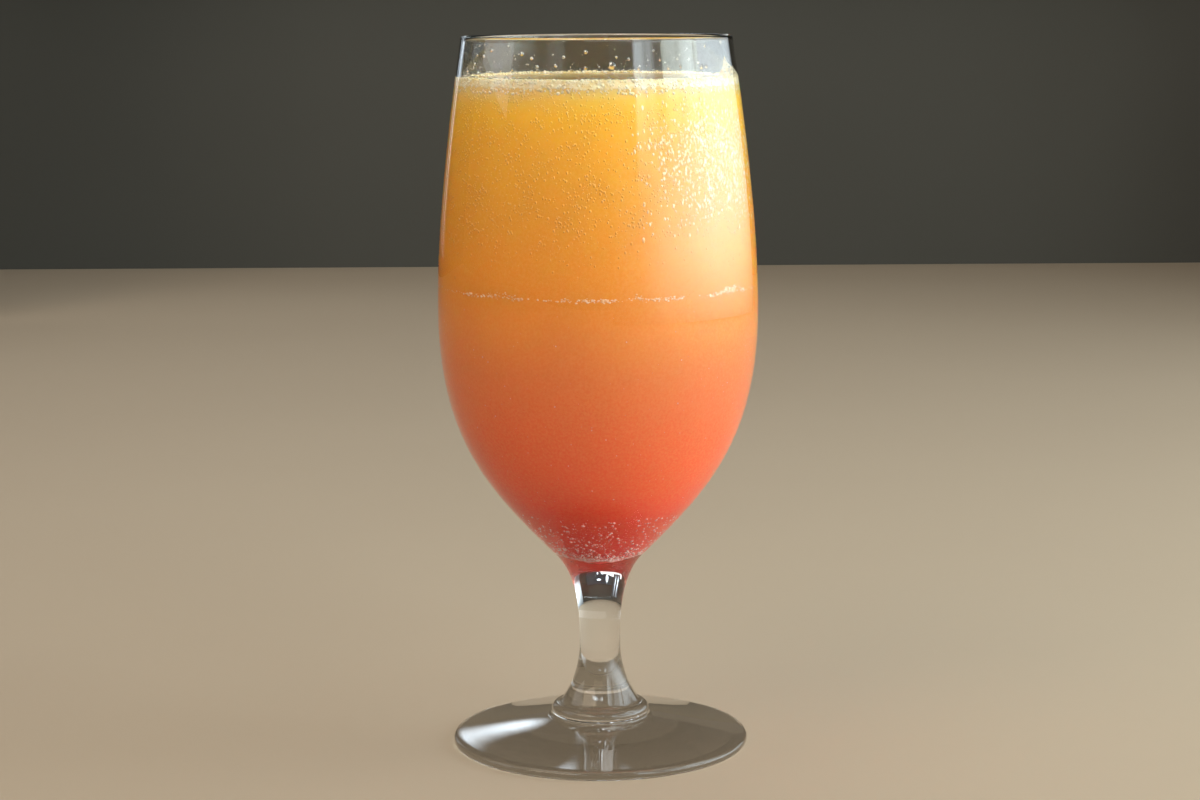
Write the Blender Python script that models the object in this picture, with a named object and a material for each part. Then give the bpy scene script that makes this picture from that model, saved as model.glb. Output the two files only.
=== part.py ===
"""Orange and strawberry sparkling drink in a footed stem glass.

The glass is one turned solid: foot, rolled collar, short solid stem and egg-shaped bowl with a
thick bottom. The drink fills the bowl up to its level in two layers, strawberry at the bottom and
orange above, and a ring of froth lies on the orange layer all round the wall.

Metres, +Z up. The glass stands on z = 0 with its axis on the Z axis.
"""

import math

import bmesh
import bpy

MM = 0.001

# Whole glass
GLASS_HEIGHT = 190.0 * MM
RIM_RADIUS = 35.6 * MM
LIP_THICKNESS = 1.2 * MM
WIDEST_RADIUS = 42.5 * MM
WIDEST_HEIGHT = 118.0 * MM

# Outer side of the bowl
RIM_LEAN = math.radians(8.3)
RIM_HANDLE = 8.0 * MM
SHOULDER_HANDLE = 27.5 * MM
BELLY_HANDLE = 34.9 * MM
TAPER_ANGLE = math.radians(44.2)
TAPER_HANDLE = 21.8 * MM
TAPER_END_RADIUS = 13.6 * MM
TAPER_END_HEIGHT = 53.65 * MM

# Stem
NECK_HANDLE = 3.0 * MM
STEM_RADIUS = 5.5 * MM
STEM_TOP = 30.0 * MM
STEM_TOP_HANDLE = 17.5 * MM
STEM_BOTTOM = 26.8 * MM
FLARE_TOP_HANDLE = 3.9 * MM
FLARE_HANDLE = 6.8 * MM
FLARE_ANGLE = math.radians(39.0)

# Rolled collar at the bottom of the stem
COLLAR_CENTRE_RADIUS = 11.2 * MM
COLLAR_HEIGHT = 9.0 * MM
COLLAR_SECTION = 2.0 * MM
COLLAR_START = math.radians(98.0)
COLLAR_END = math.radians(-48.0)

# Foot
FOOT_RADIUS = 39.85 * MM
FOOT_EDGE_THICKNESS = 2.5 * MM
FOOT_EDGE_ROUND = 1.2 * MM
FOOT_ROOT_HANDLE = 10.0 * MM
FOOT_OUTER_HANDLE = 9.0 * MM
FOOT_OUTER_SLOPE = math.radians(9.5)

# Hollow of the bowl
WALL_AT_WIDEST = 1.4 * MM
HOLLOW_TAPER_HEIGHT = 67.8 * MM
HOLLOW_TAPER_RADIUS = 23.2 * MM
HOLLOW_TAPER_HANDLE = 16.0 * MM
HOLLOW_SHOULDER_HANDLE = 27.5 * MM
HOLLOW_BELLY_HANDLE = 21.0 * MM
HOLLOW_BOTTOM = 53.0 * MM
HOLLOW_CORNER_HANDLE = 3.0 * MM
HOLLOW_FLOOR_HANDLE = 18.5 * MM
HOLLOW_FLOOR_SLOPE = math.radians(28.0)

# Drink
DRINK_LEVEL = 179.1 * MM
LAYER_CHANGE = 88.0 * MM
FROTH_TOP = 179.9 * MM
FROTH_BOTTOM = 176.9 * MM
FROTH_WIDTH = 4.5 * MM
FROTH_ROUND = 1.1 * MM
GAP = 0.3 * MM

# Facets
TURN_STEPS = 56
LONG_SPAN_STEPS = 10
SHORT_SPAN_STEPS = 5
ARC_STEPS = 4


def clear_scene():
    """Remove every object of the startup scene."""
    for obj in list(bpy.data.objects):
        bpy.data.objects.remove(obj, do_unlink=True)


def span(start, first_handle, second_handle, end, steps):
    """Points of a cubic curve from start to end, without its start."""
    points = []
    for index in range(1, steps + 1):
        t = index / steps
        a = (1 - t) ** 3
        b = 3 * (1 - t) ** 2 * t
        c = 3 * (1 - t) * t * t
        d = t**3
        radius = a * start[0] + b * first_handle[0] + c * second_handle[0] + d * end[0]
        height = a * start[1] + b * first_handle[1] + c * second_handle[1] + d * end[1]
        points.append((radius, height))
    return points


def arc(centre, radius, start_angle, end_angle, steps):
    """Points of an arc, both ends included. An angle of 0 looks outwards and 90 degrees looks up."""
    points = []
    for index in range(steps + 1):
        angle = start_angle + (end_angle - start_angle) * index / steps
        points.append((centre[0] + radius * math.cos(angle), centre[1] + radius * math.sin(angle)))
    return points


def away(point, angle_from_vertical, distance):
    """The point this far down and inwards, at the given lean from the vertical."""
    return (
        point[0] - distance * math.sin(angle_from_vertical),
        point[1] - distance * math.cos(angle_from_vertical),
    )


def foot_profile():
    """From the middle of the flat underside round the edge of the foot and up to the collar."""
    edge_centre_radius = FOOT_RADIUS - FOOT_EDGE_ROUND
    top_round_height = FOOT_EDGE_THICKNESS - FOOT_EDGE_ROUND
    points = [(0.0, 0.0)]
    points += arc((edge_centre_radius, FOOT_EDGE_ROUND), FOOT_EDGE_ROUND, math.radians(-90), 0.0, ARC_STEPS)
    upper = arc(
        (edge_centre_radius, top_round_height),
        FOOT_EDGE_ROUND,
        0.0,
        math.radians(90) - FOOT_OUTER_SLOPE,
        ARC_STEPS,
    )
    points += upper[1:]
    collar = arc(
        (COLLAR_CENTRE_RADIUS, COLLAR_HEIGHT), COLLAR_SECTION, COLLAR_END, COLLAR_START, 2 * ARC_STEPS
    )
    outer = points[-1]
    root = collar[0]
    outer_handle = (
        outer[0] - FOOT_OUTER_HANDLE * math.cos(FOOT_OUTER_SLOPE),
        outer[1] + FOOT_OUTER_HANDLE * math.sin(FOOT_OUTER_SLOPE),
    )
    root_handle = (root[0] + FOOT_ROOT_HANDLE, root[1] - FOOT_ROOT_HANDLE * math.tan(FOOT_OUTER_SLOPE))
    points += span(outer, outer_handle, root_handle, root, SHORT_SPAN_STEPS)
    points += collar[1:]
    return points


def stem_profile(collar_top):
    """From the top of the collar up the flare and the stem, and out to where the bowl tapers."""
    waist = (STEM_RADIUS, STEM_BOTTOM)
    stem_top = (STEM_RADIUS, STEM_TOP)
    taper_end = (TAPER_END_RADIUS, TAPER_END_HEIGHT)
    flare_handle = (
        collar_top[0] - FLARE_HANDLE * math.sin(FLARE_ANGLE),
        collar_top[1] + FLARE_HANDLE * math.cos(FLARE_ANGLE),
    )
    points = span(collar_top, flare_handle, (STEM_RADIUS, STEM_BOTTOM - FLARE_TOP_HANDLE), waist, 7)
    points.append(stem_top)
    points += span(
        stem_top,
        (STEM_RADIUS, STEM_TOP + STEM_TOP_HANDLE),
        away(taper_end, TAPER_ANGLE, NECK_HANDLE),
        taper_end,
        LONG_SPAN_STEPS,
    )
    return points


def bowl_outside():
    """From the end of the taper up the belly to the outside of the lip."""
    taper_end = (TAPER_END_RADIUS, TAPER_END_HEIGHT)
    widest = (WIDEST_RADIUS, WIDEST_HEIGHT)
    rim = (RIM_RADIUS, GLASS_HEIGHT - LIP_THICKNESS / 2)
    points = span(
        taper_end,
        away(taper_end, TAPER_ANGLE, -TAPER_HANDLE),
        (WIDEST_RADIUS, WIDEST_HEIGHT - BELLY_HANDLE),
        widest,
        LONG_SPAN_STEPS,
    )
    points += span(
        widest,
        (WIDEST_RADIUS, WIDEST_HEIGHT + SHOULDER_HANDLE),
        (rim[0] + RIM_HANDLE * math.sin(RIM_LEAN), rim[1] - RIM_HANDLE * math.cos(RIM_LEAN)),
        rim,
        LONG_SPAN_STEPS,
    )
    return points


def lip():
    """Half circle over the top of the wall, from the outside to the inside."""
    half = LIP_THICKNESS / 2
    centre = (RIM_RADIUS - half, GLASS_HEIGHT - half)
    return arc(centre, half, 0.0, math.pi, ARC_STEPS)[1:]


def hollow_profile(steps):
    """From the inside of the lip down the wall to the middle of the hollow's bottom."""
    start = (RIM_RADIUS - LIP_THICKNESS, GLASS_HEIGHT - LIP_THICKNESS / 2)
    widest = (WIDEST_RADIUS - WALL_AT_WIDEST, WIDEST_HEIGHT)
    taper = (HOLLOW_TAPER_RADIUS, HOLLOW_TAPER_HEIGHT)
    bottom = (0.0, HOLLOW_BOTTOM)
    floor_handle_radius = HOLLOW_FLOOR_HANDLE * math.cos(HOLLOW_FLOOR_SLOPE)
    floor_handle_height = HOLLOW_BOTTOM + HOLLOW_FLOOR_HANDLE * math.sin(HOLLOW_FLOOR_SLOPE)
    points = [start]
    points += span(
        start,
        (start[0] + RIM_HANDLE * math.sin(RIM_LEAN), start[1] - RIM_HANDLE * math.cos(RIM_LEAN)),
        (widest[0], widest[1] + HOLLOW_SHOULDER_HANDLE),
        widest,
        steps,
    )
    points += span(
        widest,
        (widest[0], widest[1] - HOLLOW_BELLY_HANDLE),
        away(taper, TAPER_ANGLE, -HOLLOW_TAPER_HANDLE),
        taper,
        steps,
    )
    points += span(
        taper,
        away(taper, TAPER_ANGLE, HOLLOW_CORNER_HANDLE),
        (floor_handle_radius, floor_handle_height),
        bottom,
        SHORT_SPAN_STEPS,
    )
    return points


def inset_hollow(gap):
    """The hollow's profile moved inwards by the gap, from the lip down to the axis."""
    points = hollow_profile(LONG_SPAN_STEPS)
    inset = []
    for index, point in enumerate(points[:-1]):
        before = points[max(index - 1, 0)]
        after = points[index + 1]
        along = (after[0] - before[0], after[1] - before[1])
        length = math.hypot(along[0], along[1])
        inset.append((point[0] + gap * along[1] / length, point[1] - gap * along[0] / length))
    inset.append((0.0, points[-1][1] + gap))
    return inset


def inset_radius(height, gap):
    """Radius at this height of the hollow moved inwards by the gap."""
    points = inset_hollow(gap)
    for upper, lower in zip(points, points[1:]):
        if lower[1] <= height <= upper[1]:
            share = (height - lower[1]) / (upper[1] - lower[1])
            return lower[0] + share * (upper[0] - lower[0])
    return 0.0


def side_between(low, high):
    """The side of a layer between two heights, from the bottom up, a gap away from the glass."""
    side = [(inset_radius(low, GAP), low)] if low > HOLLOW_BOTTOM else []
    side += [point for point in reversed(inset_hollow(GAP)) if low < point[1] < high]
    side.append((inset_radius(high, GAP), high))
    return side


def turned(name, profile, closed_ring, material):
    """A solid turned round Z from a profile of (radius, height) points.

    The profile runs up the outer side and back down the inside or the axis. A closed ring has no
    point on the axis. Otherwise the first and last points lie on the axis.
    """
    mesh = bmesh.new()
    rings = []
    for radius, height in profile:
        if radius < 1e-7:
            rings.append([mesh.verts.new((0.0, 0.0, height))])
            continue
        ring = []
        for step in range(TURN_STEPS):
            angle = 2 * math.pi * step / TURN_STEPS
            ring.append(mesh.verts.new((radius * math.cos(angle), radius * math.sin(angle), height)))
        rings.append(ring)
    pairs = list(zip(rings, rings[1:]))
    if closed_ring:
        pairs.append((rings[-1], rings[0]))
    for lower, upper in pairs:
        for step in range(TURN_STEPS):
            following = (step + 1) % TURN_STEPS
            if len(lower) == 1 and len(upper) == 1:
                continue
            if len(lower) == 1:
                mesh.faces.new((lower[0], upper[following], upper[step]))
            elif len(upper) == 1:
                mesh.faces.new((lower[step], lower[following], upper[0]))
            else:
                mesh.faces.new((lower[step], lower[following], upper[following], upper[step]))
    bmesh.ops.recalc_face_normals(mesh, faces=mesh.faces[:])
    data = bpy.data.meshes.new(name)
    mesh.to_mesh(data)
    mesh.free()
    data.shade_smooth()
    data.set_sharp_from_angle(angle=math.radians(40))
    data.materials.append(material)
    obj = bpy.data.objects.new(name, data)
    bpy.context.scene.collection.objects.link(obj)
    return obj


def finish(name, colour, roughness, alpha):
    """A plain Principled material."""
    material = bpy.data.materials.new(name)
    material.use_nodes = True
    shader = material.node_tree.nodes["Principled BSDF"]
    shader.inputs["Base Color"].default_value = (*colour, 1.0)
    shader.inputs["Roughness"].default_value = roughness
    shader.inputs["Metallic"].default_value = 0.0
    shader.inputs["Alpha"].default_value = alpha
    return material


def build_glass():
    """The whole glass as one turned solid."""
    profile = foot_profile()
    profile += stem_profile(profile[-1])
    profile += bowl_outside()
    profile += lip()
    profile += hollow_profile(LONG_SPAN_STEPS)[1:]
    turned("glass", profile, False, finish("clear_glass", (0.86, 0.90, 0.90), 0.03, 0.35))


def build_strawberry_layer():
    """The strawberry drink in the bottom of the hollow."""
    top = LAYER_CHANGE - GAP / 2
    profile = side_between(0.0, top)
    profile.append((0.0, top))
    turned("strawberry_layer", profile, False, finish("strawberry_drink", (0.62, 0.09, 0.05), 0.2, 1.0))


def build_orange_layer():
    """The orange drink from the change of layer up to the level, with a rebate for the froth."""
    bottom = LAYER_CHANGE + GAP / 2
    rebate = FROTH_BOTTOM - GAP
    inner = froth_inner_radius() - GAP
    profile = [(0.0, bottom)]
    profile += side_between(bottom, rebate)
    profile.append((inner, rebate))
    profile.append((inner, DRINK_LEVEL))
    profile.append((0.0, DRINK_LEVEL))
    turned("orange_layer", profile, False, finish("orange_drink", (0.83, 0.36, 0.05), 0.2, 1.0))


def froth_inner_radius():
    """Radius of the froth's inner side."""
    return inset_radius(DRINK_LEVEL, GAP) - FROTH_WIDTH


def build_froth():
    """The ring of froth that lies on the drink all round the wall."""
    outer_low = inset_radius(FROTH_BOTTOM, GAP)
    outer_high = inset_radius(FROTH_TOP, GAP)
    inner = froth_inner_radius()
    profile = [(outer_low, FROTH_BOTTOM), (outer_high, FROTH_TOP)]
    shoulder = arc(
        (inner + FROTH_ROUND, FROTH_TOP - FROTH_ROUND - 0.25 * MM),
        FROTH_ROUND,
        math.radians(80),
        math.radians(180),
        5,
    )
    profile += shoulder
    profile.append((inner, FROTH_BOTTOM))
    turned("froth", profile, True, finish("froth_bubbles", (0.90, 0.72, 0.35), 0.5, 1.0))


def main():
    """Build the glass and what is in it."""
    clear_scene()
    build_glass()
    build_strawberry_layer()
    build_orange_layer()
    build_froth()


main()
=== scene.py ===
"""Looks of a cloudy sparkling drink, orange above and strawberry below, in a clear footed glass.

Every length is in metres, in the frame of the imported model: Z runs up the axis of the glass from
the middle of its foot, and the camera stands on the side of -Y. Angles round the glass are counted
in degrees from the camera's side towards the right.
"""

import logging
import math
from collections.abc import Callable
from dataclasses import dataclass, field
from enum import Enum

import bpy
import numpy as np
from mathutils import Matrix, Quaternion, Vector, noise


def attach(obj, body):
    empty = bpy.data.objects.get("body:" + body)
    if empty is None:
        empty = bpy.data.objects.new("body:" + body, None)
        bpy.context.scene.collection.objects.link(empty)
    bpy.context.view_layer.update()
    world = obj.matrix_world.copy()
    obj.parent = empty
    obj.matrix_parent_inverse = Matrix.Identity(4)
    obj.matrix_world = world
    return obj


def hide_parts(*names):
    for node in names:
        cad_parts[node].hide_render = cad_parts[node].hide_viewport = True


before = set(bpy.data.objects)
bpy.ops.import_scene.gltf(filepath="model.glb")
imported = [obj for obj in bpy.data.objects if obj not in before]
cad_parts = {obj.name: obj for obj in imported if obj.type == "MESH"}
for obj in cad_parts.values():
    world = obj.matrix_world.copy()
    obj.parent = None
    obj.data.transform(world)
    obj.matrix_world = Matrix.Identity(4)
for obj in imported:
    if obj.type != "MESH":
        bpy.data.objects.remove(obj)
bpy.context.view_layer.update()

MM = 0.001
ON_AXIS = 1e-7
HALF_TURN = 180.0
DOME_BANDS = (math.radians(42.0), math.radians(90.0))
DOME_DEPTH = 0.25
BOWL_MIDDLE = Vector((0.0, 0.0, 120.0 * MM))
BODY = "root"

Point = tuple[float, float]
Place = tuple[float, float, float]
Colour = tuple[float, float, float]
Face = tuple[int, ...]
Socket = bpy.types.NodeSocket

log = logging.getLogger("drink")


class Slot(Enum):
    """Material slots of the record."""

    CLEAR_GLASS = "clear_glass"
    STRAWBERRY_DRINK = "strawberry_drink"
    ORANGE_DRINK = "orange_drink"
    FROTH = "froth_bubbles"


class Easing(Enum):
    """How a mapped value runs from one end of its range to the other."""

    EVEN = "LINEAR"
    SOFT = "SMOOTHSTEP"


# Curves, meshes and small helpers.


def span(start: Point, first_handle: Point, second_handle: Point, end: Point, steps: int) -> list[Point]:
    """Points of a cubic curve, without its start.

    Args:
        start: Where the curve begins, as (radius, height).
        first_handle: Handle that belongs to the start.
        second_handle: Handle that belongs to the end.
        end: Where the curve ends.
        steps: How many points are made.

    Returns:
        The points from just after the start up to the end.
    """
    points = []
    for index in range(1, steps + 1):
        t = index / steps
        weights = ((1 - t) ** 3, 3 * (1 - t) ** 2 * t, 3 * (1 - t) * t * t, t**3)
        corners = (start, first_handle, second_handle, end)
        points.append(
            (
                sum(w * c[0] for w, c in zip(weights, corners)),
                sum(w * c[1] for w, c in zip(weights, corners)),
            )
        )
    return points


def arc(centre: Point, radius: float, start_angle: float, end_angle: float, steps: int) -> list[Point]:
    """Points of an arc, both ends included.

    Args:
        centre: Middle of the arc, as (radius, height).
        radius: Radius of the arc.
        start_angle: First angle in radians; 0 looks outwards and a right angle looks up.
        end_angle: Last angle in radians.
        steps: How many chords the arc has.

    Returns:
        The points of the arc.
    """
    angles = [start_angle + (end_angle - start_angle) * index / steps for index in range(steps + 1)]
    return [(centre[0] + radius * math.cos(a), centre[1] + radius * math.sin(a)) for a in angles]


def away(point: Point, lean: float, distance: float) -> Point:
    """The point that lies further down and inwards.

    Args:
        point: Where to start, as (radius, height).
        lean: Angle from the vertical in radians; a negative angle leads down and outwards.
        distance: How far to go; a negative distance leads the other way.

    Returns:
        The new point.
    """
    return point[0] - distance * math.sin(lean), point[1] - distance * math.cos(lean)


def between(low: float, high: float, share: float) -> float:
    """The value at a share of the way from low to high."""
    return low + (high - low) * share


def pattern(x: float, y: float, z: float = 0.0) -> float:
    """A smooth random pattern in space, from about -1 to 1."""
    return noise.noise(Vector((x, y, z)))


def directions(azimuth: float) -> tuple[Vector, Vector]:
    """The level unit directions outwards and round the glass, at an angle in degrees."""
    turn = math.radians(azimuth)
    return Vector((math.sin(turn), -math.cos(turn), 0.0)), Vector((math.cos(turn), math.sin(turn), 0.0))


def rectangle(half_width: float, near: Point, far: Point) -> list[Place]:
    """Corners of a rectangle across the view, between two edges given as (distance back, height)."""
    return [(-half_width, *near), (half_width, *near), (half_width, *far), (-half_width, *far)]


def new_mesh(name: str, vertices: list[Place], faces: list[Face]) -> bpy.types.Mesh:
    """Make a mesh.

    Args:
        name: Name of the mesh.
        vertices: Its vertices.
        faces: Its faces, as numbers of vertices.

    Returns:
        The mesh.
    """
    mesh = bpy.data.meshes.new(name)
    mesh.from_pydata(vertices, [], faces)
    mesh.update()
    return mesh


def new_object(name: str, data: bpy.types.ID) -> bpy.types.Object:
    """Put a mesh, a lamp or a camera in the scene.

    Args:
        name: Name of the object.
        data: What the object shows.

    Returns:
        The object.
    """
    thing = bpy.data.objects.new(name, data)
    bpy.context.scene.collection.objects.link(thing)
    return thing


def turned_mesh(name: str, profile: list[Point], steps: int) -> bpy.types.Mesh:
    """Turn a profile round Z into a closed mesh.

    Args:
        name: Name of the mesh.
        profile: (radius, height) points from the bottom, up the outside and back to the axis.
        steps: How many steps make a full turn.

    Returns:
        The mesh, with its faces looking outwards.
    """
    vertices: list[Place] = []
    rings: list[list[int]] = []
    turns = [2 * math.pi * step / steps for step in range(steps)]
    for radius, height in profile:
        first = len(vertices)
        if radius < ON_AXIS:
            vertices.append((0.0, 0.0, height))
            rings.append([first])
            continue
        vertices += [(radius * math.cos(a), radius * math.sin(a), height) for a in turns]
        rings.append(list(range(first, first + steps)))
    faces: list[Face] = []
    for lower, upper in zip(rings, rings[1:]):
        for step in range(steps):
            after = (step + 1) % steps
            if len(lower) == 1 and len(upper) == 1:
                continue
            if len(lower) == 1:
                faces.append((lower[0], upper[after], upper[step]))
            elif len(upper) == 1:
                faces.append((lower[step], lower[after], upper[0]))
            else:
                faces.append((lower[step], lower[after], upper[after], upper[step]))
    return new_mesh(name, vertices, faces)


def sphere_point(tilt: float, turn: float) -> Place:
    """A point of the unit ball, from its angle to +Z and its turn round Z, both in radians."""
    return math.sin(tilt) * math.cos(turn), math.sin(tilt) * math.sin(turn), math.cos(tilt)


def ball_template(rings: int, sides: int) -> tuple[np.ndarray, np.ndarray]:
    """A unit ball with few triangles.

    Args:
        rings: Bands from pole to pole.
        sides: Faces round each band.

    Returns:
        Its vertices and its triangles, which look outwards.
    """
    vertices = [(0.0, 0.0, 1.0)]
    for ring in range(1, rings):
        tilt = math.pi * ring / rings
        for side in range(sides):
            turn = 2 * math.pi * (side + 0.5 * (ring % 2)) / sides
            vertices.append(sphere_point(tilt, turn))
    vertices.append((0.0, 0.0, -1.0))
    last = len(vertices) - 1
    faces = []
    for side in range(sides):
        after = (side + 1) % sides
        faces.append((0, 1 + side, 1 + after))
        base = 1 + (rings - 2) * sides
        faces.append((last, base + after, base + side))
        for ring in range(rings - 2):
            near, far = 1 + ring * sides, 1 + (ring + 1) * sides
            faces.append((near + side, far + side, far + after))
            faces.append((near + side, far + after, near + after))
    return np.array(vertices), np.array(faces)


def cap_template(sides: int) -> tuple[np.ndarray, np.ndarray]:
    """A low dome of unit radius on the plane Z = 0, closed below by a shallow cone.

    Args:
        sides: Faces round the dome.

    Returns:
        Its vertices and its triangles, which look outwards.
    """
    vertices = [(0.0, 0.0, 1.0)]
    for tilt in DOME_BANDS:
        for side in range(sides):
            turn = 2 * math.pi * side / sides
            vertices.append(sphere_point(tilt, turn))
    vertices.append((0.0, 0.0, -DOME_DEPTH))
    last = len(vertices) - 1
    faces = []
    for side in range(sides):
        after = (side + 1) % sides
        faces.append((0, 1 + side, 1 + after))
        faces.append((1 + side, 1 + sides + side, 1 + sides + after))
        faces.append((1 + side, 1 + sides + after, 1 + after))
        faces.append((last, 1 + sides + after, 1 + sides + side))
    return np.array(vertices), np.array(faces)


@dataclass
class Swarm:
    """Many copies of one small shape, joined in one mesh.

    Args:
        template: Vertices and triangles of the shape.
    """

    template: tuple[np.ndarray, np.ndarray]
    places: list[np.ndarray] = field(default_factory=list)
    turns: list[np.ndarray] = field(default_factory=list)

    def add(self, place: Vector, across: Vector, along: Vector, out: Vector) -> None:
        """Add one copy.

        Args:
            place: Where the copy's own origin goes.
            across: The copy's own X, with its length as the scale.
            along: The copy's own Y, with its length as the scale.
            out: The copy's own Z, with its length as the scale.
        """
        self.places.append(np.array(place))
        self.turns.append(np.array((across, along, out)))

    def mesh(self, name: str) -> bpy.types.Mesh:
        """Join the copies.

        Args:
            name: Name of the mesh.

        Returns:
            The joined mesh.
        """
        shape, triangles = self.template
        places, turns = np.array(self.places), np.array(self.turns)
        points = np.einsum("vk,nkc->nvc", shape, turns) + places[:, None, :]
        faces = triangles[None, :, :] + (np.arange(len(places)) * len(shape))[:, None, None]
        return new_mesh(name, points.reshape(-1, 3).tolist(), faces.reshape(-1, 3).tolist())


def add_piece(mesh: bpy.types.Mesh, material: bpy.types.Material) -> bpy.types.Object:
    """Put a mesh in the scene as a piece of the drink.

    Args:
        mesh: The piece's mesh, whose name the piece takes.
        material: The piece's finish.

    Returns:
        The new object, which rides on the one body.
    """
    mesh.materials.append(material)
    mesh.shade_smooth()
    piece = new_object(mesh.name, mesh)
    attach(piece, BODY)
    log.info("%s: %d faces", piece.name, len(mesh.polygons))
    return piece


# The form of the glass.


@dataclass(frozen=True)
class GlassForm:
    """Sizes of the glass and the curves that its wall follows, as in the solid model."""

    height: float = 190.0 * MM
    rim_radius: float = 35.6 * MM
    lip_thickness: float = 1.2 * MM
    widest_radius: float = 42.5 * MM
    widest_height: float = 118.0 * MM
    rim_lean: float = math.radians(8.3)
    rim_handle: float = 8.0 * MM
    shoulder_handle: float = 27.5 * MM
    belly_handle: float = 34.9 * MM
    taper_angle: float = math.radians(44.2)
    taper_handle: float = 21.8 * MM
    taper_end: Point = (13.6 * MM, 53.65 * MM)
    neck_handle: float = 3.0 * MM
    stem_radius: float = 5.5 * MM
    stem_top: float = 30.0 * MM
    stem_top_handle: float = 17.5 * MM
    stem_bottom: float = 26.8 * MM
    flare_top_handle: float = 3.9 * MM
    flare_handle: float = 6.8 * MM
    flare_angle: float = math.radians(39.0)
    collar_centre: Point = (11.2 * MM, 9.0 * MM)
    collar_section: float = 2.0 * MM
    collar_start: float = math.radians(98.0)
    collar_end: float = math.radians(-48.0)
    foot_radius: float = 39.85 * MM
    foot_edge_thickness: float = 2.5 * MM
    foot_edge_round: float = 1.2 * MM
    foot_root_handle: float = 10.0 * MM
    foot_outer_handle: float = 9.0 * MM
    foot_outer_slope: float = math.radians(9.5)
    wall_at_widest: float = 1.4 * MM
    hollow_taper: Point = (23.2 * MM, 67.8 * MM)
    hollow_taper_handle: float = 16.0 * MM
    hollow_shoulder_handle: float = 27.5 * MM
    hollow_belly_handle: float = 21.0 * MM
    hollow_bottom: float = 53.0 * MM
    hollow_corner_handle: float = 3.0 * MM
    hollow_floor_handle: float = 18.5 * MM
    hollow_floor_slope: float = math.radians(28.0)
    long_steps: int = 28
    short_steps: int = 18
    arc_steps: int = 8

    def foot(self) -> list[Point]:
        """From the middle of the flat underside round the foot's edge and over the collar.

        Returns:
            The points of the foot and the collar.
        """
        edge, slope = self.foot_edge_round, self.foot_outer_slope
        centre_radius = self.foot_radius - edge
        points: list[Point] = [(0.0, 0.0)]
        points += arc((centre_radius, edge), edge, -math.pi / 2, 0.0, self.arc_steps)
        top_centre = (centre_radius, self.foot_edge_thickness - edge)
        points += arc(top_centre, edge, 0.0, math.pi / 2 - slope, self.arc_steps)[1:]
        collar = arc(
            self.collar_centre, self.collar_section, self.collar_end, self.collar_start, 2 * self.arc_steps
        )
        outer, root = points[-1], collar[0]
        outer_handle = (
            outer[0] - self.foot_outer_handle * math.cos(slope),
            outer[1] + self.foot_outer_handle * math.sin(slope),
        )
        root_handle = (root[0] + self.foot_root_handle, root[1] - self.foot_root_handle * math.tan(slope))
        return points + span(outer, outer_handle, root_handle, root, self.short_steps) + collar[1:]

    def stem(self, collar_top: Point) -> list[Point]:
        """From the collar up the flare and the stem to where the bowl tapers.

        Args:
            collar_top: Last point of the foot.

        Returns:
            The points of the flare, the stem and the neck.
        """
        waist, top = (self.stem_radius, self.stem_bottom), (self.stem_radius, self.stem_top)
        points = span(
            collar_top,
            away(collar_top, -self.flare_angle, -self.flare_handle),
            (self.stem_radius, self.stem_bottom - self.flare_top_handle),
            waist,
            self.short_steps,
        )
        points.append(top)
        points += span(
            top,
            (self.stem_radius, self.stem_top + self.stem_top_handle),
            away(self.taper_end, self.taper_angle, self.neck_handle),
            self.taper_end,
            self.long_steps,
        )
        return points

    def bowl_outside(self) -> list[Point]:
        """From the end of the taper up the belly to the outside of the lip.

        Returns:
            The points of the bowl's outside.
        """
        widest = (self.widest_radius, self.widest_height)
        rim = (self.rim_radius, self.height - self.lip_thickness / 2)
        points = span(
            self.taper_end,
            away(self.taper_end, self.taper_angle, -self.taper_handle),
            (self.widest_radius, self.widest_height - self.belly_handle),
            widest,
            self.long_steps,
        )
        points += span(
            widest,
            (self.widest_radius, self.widest_height + self.shoulder_handle),
            away(rim, -self.rim_lean, self.rim_handle),
            rim,
            self.long_steps,
        )
        return points

    def lip(self) -> list[Point]:
        """Half circle over the top of the wall, from the outside to the inside."""
        half = self.lip_thickness / 2
        return arc((self.rim_radius - half, self.height - half), half, 0.0, math.pi, self.arc_steps)[1:]

    def hollow(self) -> list[Point]:
        """From the inside of the lip down the wall to the middle of the hollow's bottom.

        Returns:
            The points of the hollow.
        """
        start = (self.rim_radius - self.lip_thickness, self.height - self.lip_thickness / 2)
        widest = (self.widest_radius - self.wall_at_widest, self.widest_height)
        bottom = (0.0, self.hollow_bottom)
        floor_handle = (
            self.hollow_floor_handle * math.cos(self.hollow_floor_slope),
            self.hollow_bottom + self.hollow_floor_handle * math.sin(self.hollow_floor_slope),
        )
        points = [start]
        points += span(
            start,
            away(start, -self.rim_lean, self.rim_handle),
            (widest[0], widest[1] + self.hollow_shoulder_handle),
            widest,
            self.long_steps,
        )
        points += span(
            widest,
            (widest[0], widest[1] - self.hollow_belly_handle),
            away(self.hollow_taper, self.taper_angle, -self.hollow_taper_handle),
            self.hollow_taper,
            self.long_steps,
        )
        points += span(
            self.hollow_taper,
            away(self.hollow_taper, self.taper_angle, self.hollow_corner_handle),
            floor_handle,
            bottom,
            self.short_steps,
        )
        return points

    def whole(self) -> list[Point]:
        """The glass's whole profile, from the middle of its underside to the hollow's bottom."""
        foot = self.foot()
        return foot + self.stem(foot[-1]) + self.bowl_outside() + self.lip() + self.hollow()[1:]


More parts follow.
